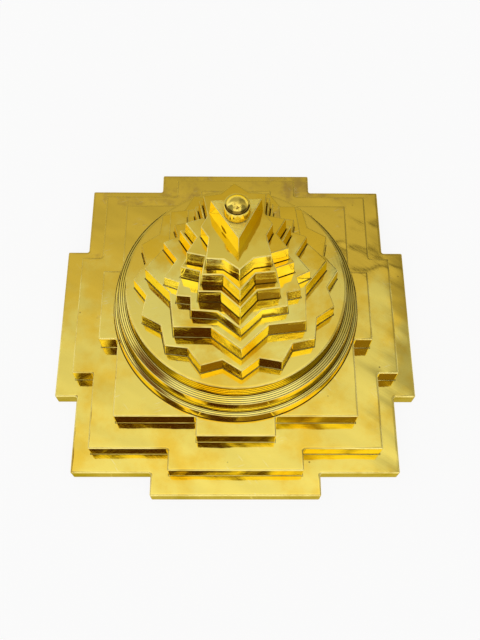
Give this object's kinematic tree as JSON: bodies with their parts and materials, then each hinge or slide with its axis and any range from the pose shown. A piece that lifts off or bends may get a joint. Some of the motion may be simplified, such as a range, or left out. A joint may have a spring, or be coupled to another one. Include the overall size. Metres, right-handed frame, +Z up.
{
  "type": "meru shri yantra",
  "caption": "Polished brass meru shri yantra: gated square plates, turned rings and star-shaped tiers stacked up to a triangle and a round bindu, for a shrine or desk.",
  "frame": {"origin": "on the axis of the centre stud, in the plane of the base plate's underside", "axes": "+Z up along the centre stud, -Y towards the front, where one corner of the trikona points, +X to the right seen from the front"},
  "size_m": [0.076, 0.076, 0.0526],
  "materials": {
    "polished_brass": "mirror polished with faint buffing streaks",
    "turned_brass": "polished over fine turning lines",
    "steel": "plain machined"
  },
  "bodies": {
    "root": {"base_plate": "polished_brass", "middle_plate": "polished_brass", "upper_plate": "polished_brass", "lower_ring": "turned_brass", "middle_ring": "turned_brass", "top_disc": "turned_brass", "sixteen_point_star": "polished_brass", "outer_eight_point_star": "polished_brass", "fourteen_point_star": "polished_brass", "outer_ten_point_star": "polished_brass", "inner_ten_point_star": "polished_brass", "inner_eight_point_star": "polished_brass", "trikona": "polished_brass", "bindu_seat": "turned_brass", "bindu_bead": "turned_brass", "centre_stud": "steel", "clamp_washer": "steel", "clamp_nut": "steel", "plate_dowels": "steel", "ring_dowels": "steel", "star_dowels": "steel", "trikona_pin": "steel"}
  },
  "joints": []
}
